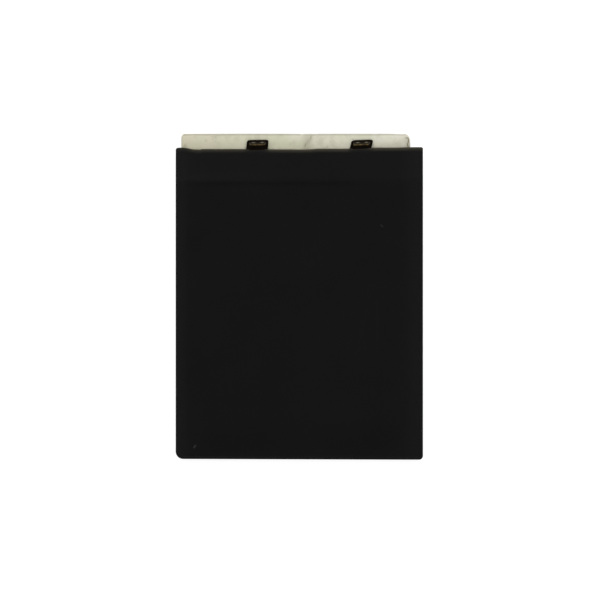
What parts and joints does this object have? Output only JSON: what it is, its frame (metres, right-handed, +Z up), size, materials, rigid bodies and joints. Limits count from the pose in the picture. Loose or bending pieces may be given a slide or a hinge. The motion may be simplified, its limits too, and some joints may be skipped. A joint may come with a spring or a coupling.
{
  "type": "phone battery",
  "caption": "Flat black lithium pouch cell for a phone, with folded tabs over a taped protection board along its sealed end.",
  "frame": {"origin": "middle of the footprint, on the surface that the battery lies on", "axes": "+Z up out of the flat side, +Y towards the end with the tabs, +X across the battery to the right"},
  "size_m": [0.062, 0.0818, 0.0044],
  "materials": {
    "pouch_laminate": "black nylon-faced aluminium laminate, satin",
    "sealing_film": "dark brown polypropylene sealing film",
    "tab_aluminium": "bare rolled aluminium strip",
    "tab_nickel": "nickel-plated copper strip",
    "nickel_link": "bare rolled nickel",
    "insulating_tape": "ivory insulating tape, matt",
    "foam": "dark closed-cell foam with adhesive on both faces",
    "circuit_board": "glass-epoxy board with green solder resist",
    "moulded_package": "black epoxy moulding",
    "ceramic_chip": "fired ceramic with tinned end caps",
    "chip_resistor": "alumina chip with a dark glaze and tinned end caps",
    "gilt_contact": "gold-plated copper"
  },
  "bodies": {
    "root": {"pouch_cell": "pouch_laminate", "positive_tab": "tab_aluminium", "negative_tab": "tab_nickel", "positive_tab_film": "sealing_film", "negative_tab_film": "sealing_film", "header_tape": "insulating_tape", "foam_strip": "foam", "protection_board": "circuit_board", "positive_link": "nickel_link", "negative_link": "nickel_link", "switch_mosfet": "moulded_package", "protection_ic": "moulded_package", "sense_resistor": "chip_resistor", "series_resistor_1": "chip_resistor", "filter_capacitor_1": "ceramic_chip", "thermistor": "ceramic_chip", "filter_capacitor_2": "ceramic_chip", "series_resistor_2": "chip_resistor", "positive_output_pad": "gilt_contact", "sense_output_pad": "gilt_contact", "negative_output_pad": "gilt_contact"}
  },
  "joints": []
}
